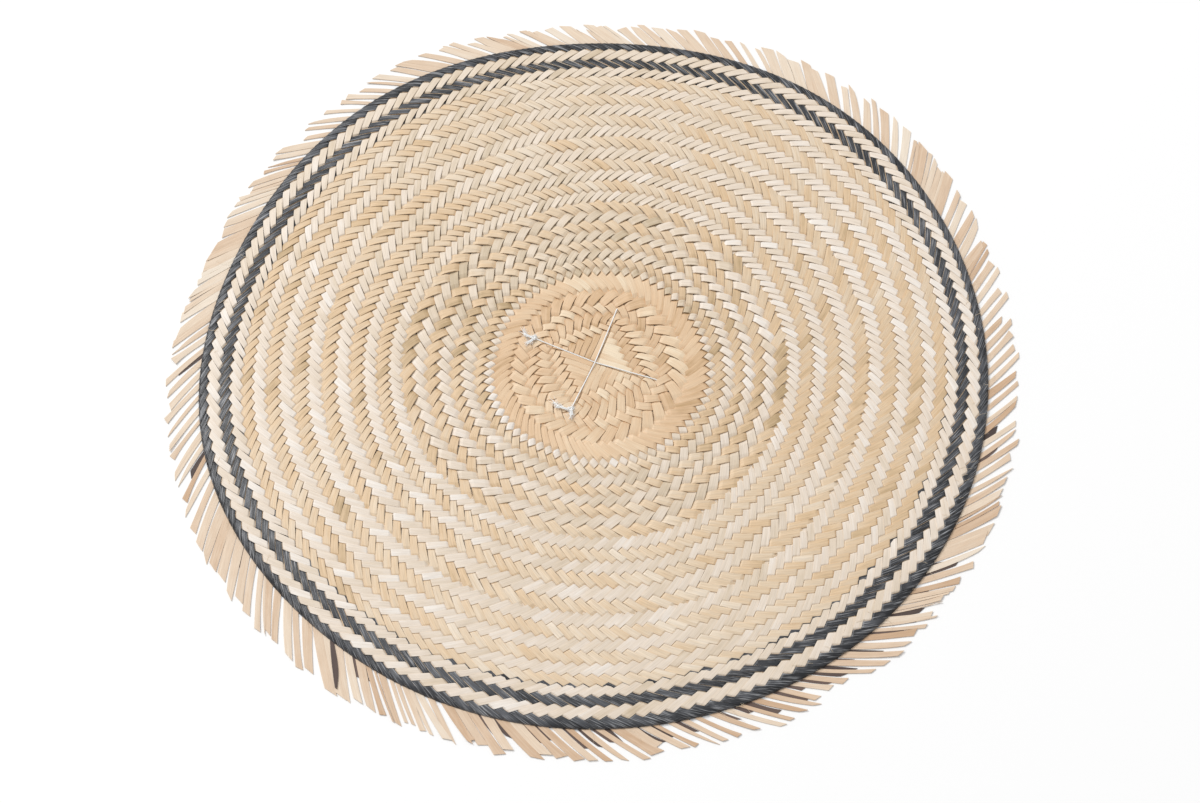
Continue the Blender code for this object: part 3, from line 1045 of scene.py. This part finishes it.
def bumped(tree, shader, height, strength, distance):
    relief = tree.nodes.new("ShaderNodeBump")
    settings(relief, Strength=strength, Distance=distance)
    tree.links.new(height, relief.inputs["Height"])
    tree.links.new(relief.outputs["Normal"], shader.inputs["Normal"])


NONE, FULL = (0.0,) * 3, (1.0,) * 3


def leaf_material(name, *stops, streak=0.30, roughness=0.52, bump=0.45, sheen=0.15,
                  line_colour=None):
    """Dry palm leaf: a tone for each strip, fine streaks along it, soft blotches and ribs.
    With a line colour, pale lines show instead of the dark streaks."""
    material, tree, shader = nodes_of(name)
    fine = noise(tree, scaled_grain(tree, 0.22, 9.0), 3.0, 0.6)
    broad = noise(tree, scaled_grain(tree, 1.1, 26.0, 31.0))
    blotch = noise(tree, scaled_grain(tree, 4.0, 7.0, 57.0))
    soft = maths(tree, "MULTIPLY_ADD", broad, 0.56, -0.28)
    patch = maths(tree, "MULTIPLY_ADD", blotch, 0.34, -0.17)
    value = maths(tree, "ADD", vertex_value(tree, "tone", "Fac"), soft)
    colour = ramp(tree, maths(tree, "ADD", value, patch), *stops)
    if line_colour is None:
        shade = ramp(tree, fine, (0.30, (1 - streak,) * 3), (0.66, FULL))
        colour = mixed(tree, "MULTIPLY", 1.0, colour, shade)
    else:
        wide = noise(tree, scaled_grain(tree, 0.36, 9.0, 83.0))
        thin = ramp(tree, wide, (0.53, NONE), (0.72, FULL))
        colour = mixed(tree, "MIX", thin, colour, (*line_colour, 1.0))
    tree.links.new(colour, shader.inputs["Base Color"])
    ribs = maths(tree, "MULTIPLY", ramp(tree, fine, (0.36, NONE), (0.62, FULL)), 0.5)
    bumped(tree, shader, maths(tree, "ADD", ribs, broad), bump, 0.12 * MM)
    settings(shader, Roughness=roughness, Specular_IOR_Level=0.45, Sheen_Weight=sheen,
             Sheen_Roughness=0.4)
    return material


def thread_material():
    material, tree, shader = nodes_of("white_cotton")
    coordinates = tree.nodes.new("ShaderNodeTexCoord")
    hairs = noise(tree, coordinates.outputs["Object"], scale=2600.0)
    colour = ramp(tree, hairs, (0.3, (0.88, 0.88, 0.87)), (0.7, (0.96, 0.96, 0.95)))
    tree.links.new(colour, shader.inputs["Base Color"])
    bumped(tree, shader, hairs, 0.4, 0.06 * MM)
    settings(shader, Roughness=0.8, Sheen_Weight=0.3)
    return material


def plain_material(name, colour, roughness):
    material, _, shader = nodes_of(name)
    settings(shader, Base_Color=(*colour, 1.0), Roughness=roughness)
    return material


CREAM = leaf_material(
    "cream_leaf",
    (0.0, (0.58, 0.46, 0.31)), (0.35, (0.745, 0.62, 0.478)), (0.75, (0.835, 0.725, 0.612)),
    (1.0, (0.89, 0.82, 0.745)),
    streak=0.20, roughness=0.46,
)
TAN = leaf_material(
    "tan_leaf",
    (0.0, (0.52, 0.37, 0.20)), (0.35, (0.765, 0.555, 0.345)), (0.70, (0.79, 0.63, 0.452)),
    (1.0, (0.85, 0.73, 0.585)),
    streak=0.26,
)
START = leaf_material(
    "start_leaf",
    (0.0, (0.50, 0.31, 0.14)), (0.35, (0.745, 0.515, 0.315)), (0.70, (0.805, 0.605, 0.405)),
    (1.0, (0.88, 0.73, 0.535)),
    streak=0.20,
)
FRINGE_LEAF = leaf_material(
    "fringe_leaf",
    (0.0, (0.60, 0.40, 0.25)), (0.30, (0.71, 0.525, 0.37)), (0.70, (0.80, 0.65, 0.50)),
    (1.0, (0.85, 0.74, 0.61)),
    streak=0.16,
)
BLACK = leaf_material(
    "black_leaf",
    (0.0, (0.010, 0.011, 0.014)), (0.5, (0.022, 0.024, 0.029)), (1.0, (0.070, 0.074, 0.084)),
    roughness=0.38, bump=0.5, sheen=0.05, line_colour=(0.36, 0.365, 0.38),
)
DARK_ENDS = leaf_material(
    "dark_leaf_ends", (0.0, (0.065, 0.042, 0.036)), (1.0, (0.16, 0.105, 0.085)), roughness=0.6,
)
FIBRE = plain_material("fibre", (0.80, 0.66, 0.48), 0.6)
THREAD = thread_material()


# ---- pieces

def dress(piece, material, slot, *nodes):
    """Gives a piece its material and body, and hides the CAD nodes it stands for. The slot is
    not used.
    """
    piece.data.materials.clear()
    piece.data.materials.append(material)
    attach(piece, "root")
    if nodes:
        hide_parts(*nodes)
    return piece


cream = dress(make_rings("cw", "cream_strips", SEED, 6), CREAM, "palm_leaf_cream", "mat")
tan = dress(make_rings("ccw", "tan_strips", SEED + 1, 6), TAN, "palm_leaf", "mat")
centre = dress(make_centre(), START, "palm_leaf", "mat")
black = dress(make_black(), BLACK, "palm_leaf_black", "mat")
fringe = dress(make_fringe(), FRINGE_LEAF, "palm_leaf_ends", "fringe")
dark_ends_shade_piece = dress(make_dark_ends_shade(), DARK_ENDS, "palm_leaf_black", "fringe")
dress(make_fibres(), FIBRE, "palm_leaf_ends")
for row in STITCHES:
    dress(make_stitch(*row), THREAD, "cotton_thread", row[0])


# ---- stage

CAMERA_DISTANCE = 8.653  # in rim radii
CAMERA_ELEVATION = radians(61.2)
CAMERA_ROLL = radians(-2.08)
AIM = (0.0087, -0.1038)  # where the camera looks, in rim radii
LENS = 102.6
SENSOR = 36.0
KEY_PLACE = Vector((-3.70, 3.50, 5.10))
KEY_SIZE = 2.90
KEY_POWER = 355.0
SKY_STRENGTH = 0.66
FLOOR_SIZE = 6.0
FLOOR_TONE = 0.90


def make_floor():
    bpy.ops.mesh.primitive_plane_add(size=FLOOR_SIZE)
    floor = bpy.context.active_object
    floor.name = "floor"
    floor.data.materials.append(plain_material("pale_floor", (FLOOR_TONE,) * 3, 0.9))


def make_camera():
    data = bpy.data.cameras.new("camera")
    data.lens = LENS
    data.sensor_width = SENSOR
    data.sensor_fit = "HORIZONTAL"
    camera = linked("camera", data)
    aim = Vector(place3(AIM, MID_HEIGHT + RISE))
    away = Vector((0, -math.cos(CAMERA_ELEVATION), math.sin(CAMERA_ELEVATION)))
    camera.location = aim + away * CAMERA_DISTANCE * RADIUS
    looking = (aim - camera.location).to_track_quat("-Z", "Y").to_matrix().to_4x4()
    looking @= Matrix.Rotation(CAMERA_ROLL, 4, "Z")
    camera.rotation_euler = looking.to_euler()
    bpy.context.scene.camera = camera


def make_light():
    """One large soft light from the far left, and an even pale sky."""
    data = bpy.data.lights.new("key", "AREA")
    data.shape = "SQUARE"
    data.size = KEY_SIZE
    data.energy = KEY_POWER
    light = linked("key", data)
    light.location = KEY_PLACE
    light.rotation_euler = (-KEY_PLACE).to_track_quat("-Z", "Y").to_euler()
    world = bpy.data.worlds.new("world")
    world.use_nodes = True
    settings(world.node_tree.nodes["Background"], Color=(1, 1, 1, 1), Strength=SKY_STRENGTH)
    bpy.context.scene.world = world


make_floor()
make_camera()
make_light()
bpy.context.scene.view_settings.view_transform = "Standard"
